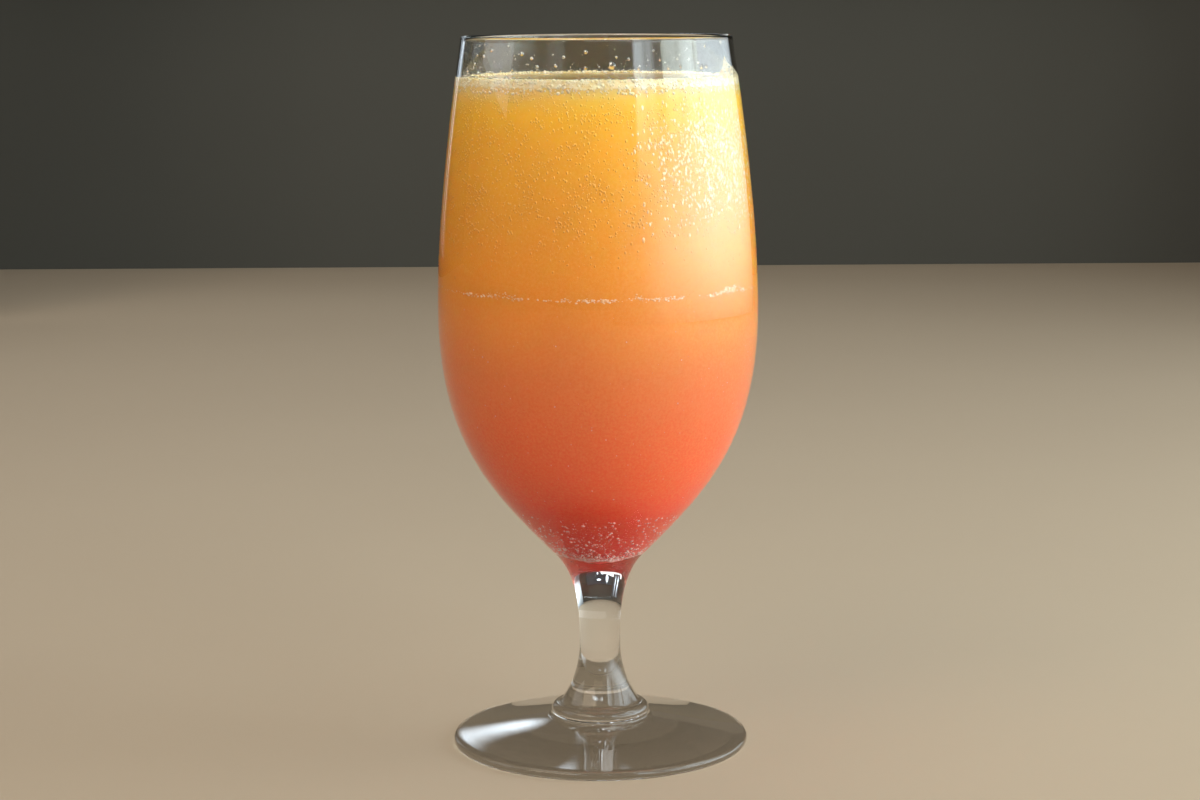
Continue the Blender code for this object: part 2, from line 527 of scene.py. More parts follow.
@dataclass
class Wall:
    """Inner face of the glass's wall, to place what clings to it.

    Args:
        form: The glass that the wall belongs to.
    """

    form: GlassForm
    points: list[Point] = field(init=False)

    def __post_init__(self) -> None:
        """Keep the hollow's profile, from the top down."""
        self.points = self.form.hollow()

    def at(self, height: float) -> tuple[float, Point]:
        """The wall at a height.

        Args:
            height: Height above the foot's underside.

        Returns:
            The wall's inner radius there, and the direction out of the drink into the glass.
        """
        for upper, lower in zip(self.points, self.points[1:]):
            if lower[1] <= height <= upper[1]:
                share = (height - lower[1]) / (upper[1] - lower[1])
                radius = lower[0] + share * (upper[0] - lower[0])
                along = (upper[0] - lower[0], upper[1] - lower[1])
                length = math.hypot(*along)
                return radius, (along[1] / length, -along[0] / length)
        return 0.0, (0.0, -1.0)

    def frame_at(
        self, azimuth: float, height: float, into_wall: float
    ) -> tuple[Vector, Vector, Vector, Vector]:
        """A place on the wall and the directions there.

        Args:
            azimuth: Angle round the glass in degrees, from the camera's side to the right.
            height: Height above the foot's underside.
            into_wall: How far the place lies outside the inner face, inside the glass.

        Returns:
            The place, and the unit directions round the wall, up the wall and into the glass.
        """
        radius, (out_flat, out_up) = self.at(height)
        flat, around = directions(azimuth)
        out = flat * out_flat + Vector((0.0, 0.0, out_up))
        up = around.cross(out) * -1.0
        place = flat * radius + Vector((0.0, 0.0, height)) + out * into_wall
        return place, around, up, out

    def inset(self, into_wall: float) -> list[Point]:
        """The hollow's profile moved outwards, into the wall.

        Args:
            into_wall: How far it is moved.

        Returns:
            The profile from the lip down to the axis.
        """
        moved = []
        for index, point in enumerate(self.points[:-1]):
            before, after = self.points[max(index - 1, 0)], self.points[index + 1]
            along = (after[0] - before[0], after[1] - before[1])
            length = math.hypot(*along)
            moved.append((point[0] - into_wall * along[1] / length, point[1] + into_wall * along[0] / length))
        moved.append((0.0, self.points[-1][1] - into_wall))
        return moved


# Finishes.


@dataclass
class NodeSheet:
    """A new material's node tree, with short ways to fill it.

    Args:
        name: Name of the material.
    """

    name: str
    material: bpy.types.Material = field(init=False)

    def __post_init__(self) -> None:
        """Make the material, with its usual shader."""
        self.material = bpy.data.materials.new(self.name)
        self.material.use_nodes = True

    @property
    def tree(self) -> bpy.types.NodeTree:
        """The material's node tree."""
        return self.material.node_tree

    @property
    def shader(self) -> bpy.types.Node:
        """The material's main shader."""
        return self.tree.nodes["Principled BSDF"]

    def add(self, kind: str, **settings: object) -> bpy.types.Node:
        """Add a node.

        Args:
            kind: Type of the node.
            **settings: Properties set on the node.

        Returns:
            The node.
        """
        node = self.tree.nodes.new(kind)
        for key, value in settings.items():
            setattr(node, key, value)
        return node

    def link(self, source: Socket, target: Socket) -> None:
        """Join two sockets."""
        self.tree.links.new(source, target)

    def set(self, **values: object) -> None:
        """Set the main shader's own sockets, named with _ for a space."""
        for key, value in values.items():
            self.shader.inputs[key.replace("_", " ")].default_value = value

    def noise(self, scale: float, detail: float, roughness: float = 0.5, upright: float = 1.0) -> Socket:
        """A noise pattern in the object's own space.

        Args:
            scale: Lumps in a metre.
            detail: Octaves of finer lumps.
            roughness: Strength of the finer lumps.
            upright: Factor on the number of lumps along Z.

        Returns:
            The pattern's value, from 0 to 1.
        """
        place = self.add("ShaderNodeTexCoord")
        mapping = self.add("ShaderNodeMapping")
        mapping.inputs["Scale"].default_value = (1.0, 1.0, upright)
        self.link(place.outputs["Object"], mapping.inputs["Vector"])
        lumps = self.add("ShaderNodeTexNoise")
        lumps.inputs["Scale"].default_value = scale
        lumps.inputs["Detail"].default_value = detail
        lumps.inputs["Roughness"].default_value = roughness
        self.link(mapping.outputs["Vector"], lumps.inputs["Vector"])
        return lumps.outputs["Fac"]

    def ranged(self, value: Socket, source: Point, target: Point, easing: Easing = Easing.EVEN) -> Socket:
        """Map a value from one range to another.

        Args:
            value: The value socket.
            source: The range it comes in.
            target: The range it leaves in.
            easing: How it runs between the ends.

        Returns:
            The mapped value, kept inside the new range.
        """
        node = self.add("ShaderNodeMapRange", interpolation_type=easing.value)
        for socket, number in zip(("From Min", "From Max", "To Min", "To Max"), (*source, *target)):
            node.inputs[socket].default_value = number
        self.link(value, node.inputs["Value"])
        return node.outputs["Result"]

    def blend(self, share: Socket, first: Socket | Colour, second: Socket | Colour) -> Socket:
        """Blend two colours by a value.

        Args:
            share: How much of the second colour, from 0 to 1.
            first: A colour, or the socket that gives it.
            second: A colour, or the socket that gives it.

        Returns:
            The blended colour.
        """
        node = self.add("ShaderNodeMix", data_type="RGBA")
        self.link(share, node.inputs["Factor"])
        for socket, colour in ((node.inputs[6], first), (node.inputs[7], second)):
            if isinstance(colour, tuple):
                socket.default_value = (*colour, 1.0)
            else:
                self.link(colour, socket)
        return node.outputs[2]

    def paint(self, share: Socket, first: Socket | Colour, second: Socket | Colour) -> None:
        """Lead a blend of two colours to the main shader."""
        self.link(self.blend(share, first, second), self.shader.inputs["Base Color"])

    def show(self, node: bpy.types.Node) -> None:
        """Let a node's shader be what the surface shows."""
        self.link(node.outputs[0], self.tree.nodes["Material Output"].inputs[0])

    def bump(self, height: Socket, distance: float, strength: float) -> None:
        """Lead a height pattern to the main shader's normal.

        Args:
            height: The pattern.
            distance: Height of the pattern in metres.
            strength: How strongly it shows.
        """
        node = self.add("ShaderNodeBump")
        node.inputs["Distance"].default_value = distance
        node.inputs["Strength"].default_value = strength
        self.link(height, node.inputs["Height"])
        self.link(node.outputs["Normal"], self.shader.inputs["Normal"])

    def pass_lamp_light(self) -> None:
        """Let the lamps' light through without bending it, so that it reaches what the glass holds."""
        path = self.add("ShaderNodeLightPath")
        clear = self.add("ShaderNodeBsdfTransparent")
        mix = self.add("ShaderNodeMixShader")
        self.link(path.outputs["Is Shadow Ray"], mix.inputs[0])
        self.link(self.shader.outputs[0], mix.inputs[1])
        self.link(clear.outputs[0], mix.inputs[2])
        self.show(mix)


@dataclass(frozen=True)
class ClearGlass:
    """Clear polished glass with faint upright draw lines."""

    tint: Colour = (0.985, 0.992, 0.992)
    ior: float = 1.52
    clear: Colour = (1.0, 1.0, 1.0)
    line_scale: float = 260.0
    line_stretch: float = 0.04
    line_height: float = 0.02 * MM

    def make(self) -> bpy.types.Material:
        """Make the material.

        Returns:
            The finished material.
        """
        sheet = NodeSheet("clear_polished_glass")
        sheet.set(Roughness=0.0, IOR=self.ior, Transmission_Weight=1.0)
        sheet.paint(sheet.noise(scale=35.0, detail=1.0), self.tint, self.clear)
        lines = sheet.noise(self.line_scale, detail=2.0, upright=self.line_stretch)
        sheet.bump(lines, self.line_height, strength=0.35)
        sheet.pass_lamp_light()
        return sheet.material


@dataclass(frozen=True)
class DrinkColour:
    """Colour of the drink over its height, red at the bottom and orange at the top."""

    low: float = 52.0 * MM
    high: float = 180.0 * MM
    stops: tuple[tuple[float, Colour], ...] = (
        (52.0 * MM, (0.84, 0.020, 0.040)),
        (60.0 * MM, (0.94, 0.046, 0.032)),
        (68.5 * MM, (0.93, 0.078, 0.023)),
        (74.5 * MM, (0.90, 0.116, 0.024)),
        (85.0 * MM, (0.84, 0.142, 0.025)),
        (95.5 * MM, (0.78, 0.166, 0.024)),
        (105.0 * MM, (0.74, 0.194, 0.020)),
        (114.5 * MM, (0.75, 0.245, 0.013)),
        (124.0 * MM, (0.78, 0.295, 0.010)),
        (134.0 * MM, (0.81, 0.347, 0.008)),
        (153.0 * MM, (0.85, 0.420, 0.007)),
        (163.0 * MM, (0.89, 0.472, 0.008)),
        (171.0 * MM, (0.94, 0.550, 0.011)),
        (174.5 * MM, (0.90, 0.580, 0.060)),
        (177.0 * MM, (0.91, 0.660, 0.200)),
        (180.0 * MM, (0.93, 0.710, 0.280)),
    )
    drift: float = 5.0 * MM

    def lay(self, sheet: NodeSheet) -> Socket:
        """Build the colour in a material.

        Args:
            sheet: The material's nodes.

        Returns:
            The colour, which drifts up and down a little in soft clouds.
        """
        place = sheet.add("ShaderNodeTexCoord")
        apart = sheet.add("ShaderNodeSeparateXYZ")
        sheet.link(place.outputs["Object"], apart.inputs[0])
        clouds = sheet.noise(scale=28.0, detail=3.0, upright=1.6)
        shift = sheet.ranged(clouds, source=(0.25, 0.75), target=(-self.drift / 2, self.drift / 2))
        moved = sheet.add("ShaderNodeMath", operation="ADD")
        sheet.link(apart.outputs["Z"], moved.inputs[0])
        sheet.link(shift, moved.inputs[1])
        share = sheet.ranged(moved.outputs[0], (self.low, self.high), (0.0, 1.0))
        ramp = sheet.add("ShaderNodeValToRGB")
        elements = ramp.color_ramp.elements
        for index, (height, colour) in enumerate(self.stops):
            position = (height - self.low) / (self.high - self.low)
            element = elements[index] if index < 2 else elements.new(position)
            element.position = position
            element.color = (*colour, 1.0)
        sheet.link(share, ramp.inputs[0])
        return ramp.outputs["Color"]


@dataclass(frozen=True)
class CloudyDrink:
    """Cloudy juice: soft light inside, fine pulp and a pale broad shine where it wets the glass."""

    colour: DrinkColour = DrinkColour()
    roughness: float = 0.66
    shine: float = 0.50
    depth: float = 8.0 * MM
    spread: Colour = (1.0, 0.45, 0.16)
    pulp: Colour = (0.95, 0.70, 0.26)
    pulp_share: float = 0.14
    grain_height: float = 0.05 * MM

    def make(self) -> bpy.types.Material:
        """Make the material.

        Returns:
            The finished material.
        """
        sheet = NodeSheet("cloudy_drink")
        flecks = sheet.noise(scale=1500.0, detail=2.0, roughness=0.6)
        share = sheet.ranged(flecks, source=(0.35, 0.75), target=(0.0, self.pulp_share))
        sheet.paint(share, self.colour.lay(sheet), self.pulp)
        sheet.set(
            Roughness=self.roughness,
            Specular_IOR_Level=self.shine,
            Subsurface_Weight=1.0,
            Subsurface_Scale=self.depth,
            Subsurface_Radius=self.spread,
        )
        grain = sheet.noise(scale=1100.0, detail=2.0, upright=0.7)
        sheet.bump(grain, self.grain_height, strength=0.5)
        return sheet.material


@dataclass(frozen=True)
class DrinkSurfacePaintedShade:
    """The drink's open surface: a darker, browner copy of the cloudy colour that paints shade on the top
    face, under a glossy wet face with fine bubbles.
    """

    deep: Colour = (0.62, 0.36, 0.06)
    pale: Colour = (0.72, 0.52, 0.20)
    roughness: float = 0.09
    ior: float = 1.35
    depth: float = 2.0 * MM
    spread: Colour = (1.0, 0.5, 0.2)
    grain_height: float = 0.10 * MM

    def make(self) -> bpy.types.Material:
        """Make the material.

        Returns:
            The finished material.
        """
        sheet = NodeSheet("drink_open_surface_painted_shade")
        specks = sheet.noise(scale=900.0, detail=2.0, roughness=0.7)
        # Both tones are darker than the drink's own colour at its level: painted shade on the top face.
        sheet.paint(sheet.ranged(specks, source=(0.45, 0.75), target=(0.0, 1.0)), self.deep, self.pale)
        sheet.set(
            Roughness=self.roughness,
            IOR=self.ior,
            Subsurface_Weight=1.0,
            Subsurface_Scale=self.depth,
            Subsurface_Radius=self.spread,
        )
        sheet.bump(sheet.noise(scale=500.0, detail=2.0), self.grain_height, strength=0.5)
        return sheet.material


@dataclass(frozen=True)
class WallBubbleFinish:
    """Tiny bubbles on the wall: the drink's own colour, paler, with a wet shine.

    Args:
        name: Name of the material.
        paleness: Greatest share of the pale colour.
        pale: The pale colour.
    """

    name: str
    paleness: float
    pale: Colour = (0.95, 0.72, 0.36)
    least_share: float = 0.3
    roughness: float = 0.12
    shine: float = 1.0
    ior: float = 1.6

    def make(self) -> bpy.types.Material:
        """Make the material.

        Returns:
            The finished material.
        """
        sheet = NodeSheet(self.name)
        least = self.paleness * self.least_share
        grain = sheet.noise(scale=900.0, detail=1.0)
        share = sheet.ranged(grain, source=(0.3, 0.7), target=(least, self.paleness))
        sheet.paint(share, DrinkColour().lay(sheet), self.pale)
        sheet.set(Roughness=self.roughness, Specular_IOR_Level=self.shine, IOR=self.ior)
        return sheet.material


@dataclass(frozen=True)
class FrothFinish:
    """Froth of fine bubbles, pale yellow with whiter lumps."""

    name: str = "pale_froth"
    deep: Colour = (0.84, 0.62, 0.28)
    pale: Colour = (0.93, 0.83, 0.60)
    roughness: float = 0.35
    shine: float = 0.6
    softness: float = 0.6
    depth: float = 1.0 * MM
    spread: Colour = (1.0, 0.7, 0.35)
    grain_height: float = 0.06 * MM

    def make(self) -> bpy.types.Material:
        """Make the material.

        Returns:
            The finished material.
        """
        sheet = NodeSheet(self.name)
        lumps = sheet.noise(scale=700.0, detail=3.0, roughness=0.6)
        sheet.paint(sheet.ranged(lumps, source=(0.35, 0.65), target=(0.0, 1.0)), self.deep, self.pale)
        sheet.set(
            Roughness=self.roughness,
            Specular_IOR_Level=self.shine,
            Subsurface_Weight=self.softness,
            Subsurface_Scale=self.depth,
            Subsurface_Radius=self.spread,
        )
        sheet.bump(sheet.noise(scale=2600.0, detail=1.0), self.grain_height, strength=0.6)
        return sheet.material


@dataclass(frozen=True)
class WetFilm:
    """Clear skin of a large bubble, or a drop of thin juice.

    Args:
        name: Name of the material.
        tint: Its colour where it is thin.
        thick_tint: Its colour where it is thick.
    """

    name: str
    tint: Colour
    thick_tint: Colour
    ior: float = 1.33
    roughness: float = 0.02

    def make(self) -> bpy.types.Material:
        """Make the material.

        Returns:
            The finished material.
        """
        sheet = NodeSheet(self.name)
        sheet.paint(sheet.noise(scale=500.0, detail=1.0), self.tint, self.thick_tint)
        sheet.set(Roughness=self.roughness, IOR=self.ior, Transmission_Weight=1.0)
        sheet.pass_lamp_light()
        return sheet.material


@dataclass(frozen=True)
class StageFinish:
    """Plain matt studio surface with a faint uneven tone.

    Args:
        name: Name of the material.
        light: Its lighter tone.
        dark: Its darker tone.
    """

    name: str
    light: Colour
    dark: Colour
    roughness: float = 0.8
    shine: float = 0.2

    def make(self) -> bpy.types.Material:
        """Make the material.

        Returns:
            The finished material.
        """
        sheet = NodeSheet(self.name)
        sheet.paint(sheet.noise(scale=2.2, detail=3.0), self.light, self.dark)
        sheet.set(Roughness=self.roughness, Specular_IOR_Level=self.shine)
        return sheet.material


# The pieces of the drink.


@dataclass
class FootedGlass:
    """The clear glass, turned much finer than its solid."""

    form: GlassForm
    steps: int = 200

    def build(self) -> None:
        """Build and dress the glass in place of its solid."""
        mesh = turned_mesh("footed_glass", self.form.whole(), self.steps)
        piece = add_piece(mesh, ClearGlass().make())
        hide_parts("glass")


@dataclass
class Drink:
    """The drink, one body from the hollow's bottom to its level, reaching just into the wall."""

    wall: Wall
    level: float = 179.1 * MM
    into_wall: float = 0.08 * MM
    climb: float = 0.3 * MM
    climb_width: float = 1.6 * MM
    climb_fall: float = 3.0
    top_rings: int = 40
    ring_crowding: float = 1.6
    still_edge: float = 0.3 * MM
    edge_band: float = 0.2 * MM
    ripple: float = 0.10 * MM
    ripple_scale: float = 160.0
    steps: int = 200

    def profile(self) -> list[Point]:
        """From the bottom of the hollow up the wall and over the top, with its edge drawn up.

        Returns:
            The points of the drink's side and top.
        """
        side = [point for point in reversed(self.wall.inset(self.into_wall)) if point[1] < self.level]
        edge_height = self.level + self.climb
        edge_radius = self.wall.at(edge_height)[0] + self.into_wall
        points = [*side, (edge_radius, edge_height)]
        for ring in range(1, self.top_rings):
            inwards = edge_radius * (ring / self.top_rings) ** self.ring_crowding
            climb = self.climb * math.exp(-self.climb_fall * inwards / self.climb_width)
            points.append((edge_radius - inwards, self.level + climb))
        points.append((0.0, self.level))
        return points

    def build(self) -> None:
        """Build and dress the drink in place of its two solid layers."""
        mesh = turned_mesh("cloudy_drink", self.profile(), self.steps)
        top = self.level - self.edge_band
        calm_from = self.wall.at(self.level)[0] - self.still_edge
        for vertex in mesh.vertices:
            place = vertex.co
            if place.z > top and math.hypot(place.x, place.y) < calm_from:
                place.z += self.ripple * pattern(place.x * self.ripple_scale, place.y * self.ripple_scale)
        piece = add_piece(mesh, CloudyDrink().make())
        # The top face takes the darker copy of the drink's colour: painted shade.
        mesh.materials.append(DrinkSurfacePaintedShade().make())
        for face in mesh.polygons:
            face.material_index = 1 if face.center.z > top and face.normal.z > 0.5 else 0
        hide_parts("strawberry_layer", "orange_layer")


@dataclass
class WallBubbles:
    """Thousands of tiny bubbles on the wall of the upper drink, fewer further down."""

    wall: Wall
    seed: int = 11
    count: int = 8000
    top: float = 177.0 * MM
    dense_bottom: float = 146.0 * MM
    sparse_bottom: float = 128.0 * MM
    thinning: float = 1.5
    patch_scale: Point = (0.09, 220.0)
    patch_layer: float = 3.0
    fullness: float = 0.55
    patchiness: float = 0.9
    small: float = 0.13 * MM
    large: float = 0.33 * MM
    size_power: float = 2.4
    longest: float = 1.7
    dome: float = 0.42
    into_wall: float = 0.07 * MM

    def build(self) -> None:
        """Build and dress the bubbles."""
        draw = np.random.default_rng(self.seed)
        swarm = Swarm(cap_template(sides=6))
        while len(swarm.places) < self.count:
            height = draw.uniform(self.sparse_bottom, self.top)
            if height < self.dense_bottom:
                keep = (height - self.sparse_bottom) / (self.dense_bottom - self.sparse_bottom)
                if draw.random() > keep**self.thinning:
                    continue
            azimuth = draw.uniform(-HALF_TURN, HALF_TURN)
            patch = pattern(azimuth * self.patch_scale[0], height * self.patch_scale[1], self.patch_layer)
            if draw.random() > self.fullness + self.patchiness * patch:
                continue
            size = between(self.small, self.large, draw.random() ** self.size_power)
            place, around, up, out = self.wall.frame_at(azimuth, height, self.into_wall)
            stretch = draw.uniform(1.0, self.longest)
            swarm.add(place, around * size, up * size * stretch, out * size * self.dome)
        finish = WallBubbleFinish("wall_bubbles", paleness=0.35)
        add_piece(swarm.mesh("wall_bubbles"), finish.make())


@dataclass
class TallBubblesPaintedGlints:
    """Bubbles drawn out upwards on the wall, close together on the side of the window, in a near-white colour
    that paints the window's glints on them: real bubbles with painted highlights.
    """

    wall: Wall
    seed: int = 17
    count: int = 1600
    first_azimuth: float = 12.0
    middle_azimuth: float = 52.0
    last_azimuth: float = 96.0
    bottom: float = 139.0 * MM
    middle: float = 163.0 * MM
    top: float = 177.0 * MM
    patch_scale: Point = (0.22, 260.0)
    patch_layer: float = 9.0
    fullness: float = 0.7
    patchiness: float = 0.7
    small: float = 0.13 * MM
    large: float = 0.38 * MM
    size_power: float = 1.6
    shortest: float = 1.2
    longest: float = 2.1
    dome: float = 0.38
    into_wall: float = 0.08 * MM

    def build(self) -> None:
        """Build and dress the bubbles."""
        draw = np.random.default_rng(self.seed)
        swarm = Swarm(cap_template(sides=8))
        while len(swarm.places) < self.count:
            height = draw.triangular(self.bottom, self.middle, self.top)
            azimuth = draw.triangular(self.first_azimuth, self.middle_azimuth, self.last_azimuth)
            patch = pattern(azimuth * self.patch_scale[0], height * self.patch_scale[1], self.patch_layer)
            if draw.random() > self.fullness + self.patchiness * patch:
                continue
            size = between(self.small, self.large, draw.random() ** self.size_power)
            place, around, up, out = self.wall.frame_at(azimuth, height, self.into_wall)
            stretch = draw.uniform(self.shortest, self.longest)
            swarm.add(place, around * size, up * size * stretch, out * size * self.dome)
        # Near-white colour, massed on the window side: painted highlights that stand in for the window's
        # glints.
        finish = WallBubbleFinish("tall_bubbles_painted_glints", paleness=0.85, pale=(1.0, 0.92, 0.70))
        add_piece(swarm.mesh("tall_bubbles_painted_glints"), finish.make())


@dataclass
class OldLevelLine:
    """Fine bumpy line that an earlier level of the drink left on the wall.

    Each of its patterns is a pair: lumps in a degree, and the row in which the pattern is read.
    """

    wall: Wall
    seed: int = 23
    height: float = 124.9 * MM
    count: int = 1350
    sag: float = 0.30 * MM
    sag_pattern: Point = (0.05, 7.0)
    spread: float = 0.24 * MM
    gap_pattern: Point = (0.16, 1.0)
    fullness: float = 0.6
    patchiness: float = 1.2
    bump: float = 4.0 * MM
    bump_pattern: Point = (0.11, 20.0)
    bump_threshold: float = 0.25
    peak: float = 1.5 * MM
    peak_width: float = 4.0
    peak_azimuths: tuple[float, ...] = (-35.0, 52.0, 59.0)
    thin_spans: tuple[Point, ...] = ((-88.0, -53.0), (-27.0, -13.0), (31.0, 43.0), (64.0, 88.0))
    thin_share: float = 0.15
    cluster_azimuth: float = 54.0
    cluster_spread: float = 4.5
    cluster_share: float = 0.16
    small: float = 0.09 * MM
    large: float = 0.30 * MM
    size_power: float = 2.0
    breadth: float = 1.4
    dome: float = 0.5
    into_wall: float = 0.07 * MM

    def rise(self, azimuth: float) -> float:
        """How high the line can climb at an angle, in bumps and at the peaks.

        Args:
            azimuth: Angle round the glass in degrees.

        Returns:
            The greatest height above the line.
        """
        scale, row = self.bump_pattern
        bump = max(0.0, pattern(azimuth * scale, row) - self.bump_threshold) * self.bump
        turns = [(azimuth - middle) / self.peak_width for middle in self.peak_azimuths]
        return bump + sum(self.peak * math.exp(-(turn**2)) for turn in turns)

    def build(self) -> None:
        """Build and dress the line."""
        draw = np.random.default_rng(self.seed)
        swarm = Swarm(cap_template(sides=6))
        while len(swarm.places) < self.count:
            if draw.random() < self.cluster_share:
                azimuth = draw.normal(self.cluster_azimuth, self.cluster_spread)
            else:
                azimuth = draw.uniform(-HALF_TURN, HALF_TURN)
            gaps = pattern(azimuth * self.gap_pattern[0], self.gap_pattern[1])
            if draw.random() > self.fullness + self.patchiness * gaps:
                continue
            thin = any(start < azimuth < end for start, end in self.thin_spans)
            if thin and draw.random() > self.thin_share:
                continue
            height = self.height + self.sag * pattern(azimuth * self.sag_pattern[0], self.sag_pattern[1])
            height += draw.normal(0.0, self.spread)
            height += self.rise(azimuth) * draw.random()
            size = between(self.small, self.large, draw.random() ** self.size_power)
            place, around, up, out = self.wall.frame_at(azimuth, height, self.into_wall)
            swarm.add(place, around * size * self.breadth, up * size, out * size * self.dome)
        finish = WallBubbleFinish("old_level_line", paleness=0.8, pale=(1.0, 0.92, 0.72))
        add_piece(swarm.mesh("old_level_line"), finish.make())


@dataclass
class BottomBubbles:
    """Pale bubbles that gather on the wall low in the strawberry end, with a few higher up."""

    wall: Wall
    seed: int = 31
    count: int = 2400
    strays: int = 420
    low: float = 54.2 * MM
    high: float = 66.0 * MM
    height_power: float = 2.3
    stray_high: float = 122.0 * MM
    small: float = 0.09 * MM
    large: float = 0.42 * MM
    size_power: float = 3.0
    stray_size: float = 0.5
    stray_power: float = 4.0
    into_wall: float = 0.09 * MM

    def build(self) -> None:
        """Build and dress the bubbles."""
        draw = np.random.default_rng(self.seed)
        swarm = Swarm(ball_template(rings=4, sides=7))
        for index in range(self.count + self.strays):
            azimuth = draw.uniform(-HALF_TURN, HALF_TURN)
            if index < self.count:
                height = between(self.low, self.high, draw.random() ** self.height_power)
                size = between(self.small, self.large, draw.random() ** self.size_power)
            else:
                height = draw.uniform(self.low, self.stray_high)
                size = between(self.small, self.large, self.stray_size * draw.random() ** self.stray_power)
            place, around, up, out = self.wall.frame_at(azimuth, height, self.into_wall)
            swarm.add(place, around * size, up * size, out * size)
        finish = WallBubbleFinish("bottom_bubbles", paleness=1.0, pale=(1.0, 0.74, 0.70))
        add_piece(swarm.mesh("bottom_bubbles"), finish.make())


@dataclass
class Froth:
    """Ring of froth round the wall at the drink's level: a lumpy bed, fine bubbles and clear ones.

    coarse and fine are the strength and the lumps in a millimetre of the two patterns that make
    the lumps. hem, crest and reach are the middle value and the swing of the bed's lower edge, of
    its height above the level and of its width; the rows keep their patterns apart. tuck is how
    far the bed goes into the wall at its hem and higher up. Pairs of sizes and rises are the least
    and the greatest value.
    """

    wall: Wall
    seed: int = 47
    level: float = 179.1 * MM
    top: float = 179.9 * MM
    bottom: float = 176.9 * MM
    width: float = 2.6 * MM
    around_steps: int = 420
    across_steps: int = 26
    lump_radius: float = 36.0
    coarse: Point = (0.65, 0.9)
    fine: Point = (0.35, 2.3)
    hem: Point = (-0.4 * MM, 1.6 * MM)
    crest: Point = (0.15 * MM, 0.35 * MM)
    reach: Point = (0.75, 0.45)
    crest_row: float = 9.0 * MM
    reach_row: float = 20.0 * MM
    top_row: float = 30.0 * MM
    tuck: Point = (-0.25 * MM, 0.11 * MM)
    tuck_quickness: float = 3.0
    tuck_swing: float = 0.03 * MM
    tuck_limit: float = 0.16 * MM
    fall: float = 0.3 * MM
    fall_power: float = 1.5
    top_swing: float = 0.14 * MM
    root_depth: float = 1.0 * MM
    size_power: float = 2.0
    crowding: float = 1.5
    fine_count: int = 1500
    fine_sizes: Point = (0.12 * MM, 0.42 * MM)
    fine_reach: float = 1.25
    fine_rise: float = 0.45 * MM
    fine_rise_width: float = 1.8 * MM
    fine_sunk: float = 0.3
    wall_count: int = 2600
    wall_sizes: Point = (0.14 * MM, 0.48 * MM)
    wall_start: float = 0.5 * MM
    wall_depth: float = 3.6 * MM
    fullness: float = 0.75
    patchiness: float = 0.9
    dome: float = 0.5
    into_wall: float = 0.08 * MM
    clear_count: int = 150
    clear_sizes: Point = (0.28 * MM, 0.70 * MM)
    clear_rises: Point = (0.35 * MM, 0.55 * MM)
    clear_gap: float = 0.02 * MM
    clear_reach: float = 1.6 * MM
    clear_crowding: float = 3.0
    clear_skin: float = 0.86

    def lump(self, azimuth: float, along: float) -> float:
        """Height pattern of the bed, from -1 to 1.

        Args:
            azimuth: Angle round the glass in degrees.
            along: Distance along the bed's outline in metres.

        Returns:
            The pattern's value.
        """
        turn = math.radians(azimuth)
        place = Vector((math.sin(turn) * self.lump_radius, math.cos(turn) * self.lump_radius, along / MM))
        return sum(strength * noise.noise(place * scale) for strength, scale in (self.coarse, self.fine))

    def bed(self) -> bpy.types.Mesh:
        """The lumpy bed: down the wall outside, and out over the drink inside.

        Returns:
            The bed's mesh.
        """
        vertices, faces = [], []
        side = self.across_steps // 2
        for step in range(self.around_steps):
            azimuth = 360.0 * step / self.around_steps
            flat, _ = directions(azimuth)
            low = self.bottom + self.hem[0] + self.hem[1] * self.lump(azimuth, 0.0)
            high = self.level + self.crest[0] + self.crest[1] * self.lump(azimuth, self.crest_row)
            reach = self.width * (self.reach[0] + self.reach[1] * self.lump(azimuth, self.reach_row))
            for index in range(side):
                share = index / (side - 1)
                height = between(low, high, share)
                into = between(*self.tuck, min(1.0, self.tuck_quickness * share))
                into += self.tuck_swing * self.lump(azimuth, height)
                radius = self.wall.at(height)[0] + min(into, self.tuck_limit)
                vertices.append(flat * radius + Vector((0.0, 0.0, height)))
            edge = self.wall.at(high)[0]
            for index in range(1, self.across_steps - side + 1):
                share = index / (self.across_steps - side)
                radius = edge - reach * share
                height = high - (high - self.level + self.fall) * share**self.fall_power
                height += self.top_swing * self.lump(azimuth, self.top_row + reach * share) * (1 - share)
                vertices.append(flat * radius + Vector((0.0, 0.0, height)))
            radius = edge - reach
            vertices.append(flat * radius + Vector((0.0, 0.0, self.level - self.root_depth)))
        row = self.across_steps + 1
        total = self.around_steps
        for step in range(total):
            here, there = step * row, ((step + 1) % total) * row
            for index in range(row):
                after = (index + 1) % row
                faces.append((here + index, there + index, there + after, here + after))
        return new_mesh("froth_bed", [tuple(v) for v in vertices], faces)

    def fine_bubbles(self) -> bpy.types.Mesh:
        """Fine opaque bubbles that stud the bed and fade out over the drink.

        Returns:
            Their mesh.
        """
        draw = np.random.default_rng(self.seed)
        swarm = Swarm(ball_template(rings=5, sides=8))
        edge = self.wall.at(self.level)[0]
        for _ in range(self.fine_count):
            flat, around = directions(draw.uniform(-HALF_TURN, HALF_TURN))
            size = between(*self.fine_sizes, draw.random() ** self.size_power)
            inwards = self.width * self.fine_reach * draw.random() ** self.crowding
            rise = self.fine_rise * math.exp(-inwards / self.fine_rise_width)
            height = self.level + rise - self.fine_sunk * size
            place = flat * (edge - size - inwards) + Vector((0.0, 0.0, height))
            swarm.add(place, around * size, flat * -size, Vector((0.0, 0.0, size)))
        return swarm.mesh("froth_fine_bubbles")

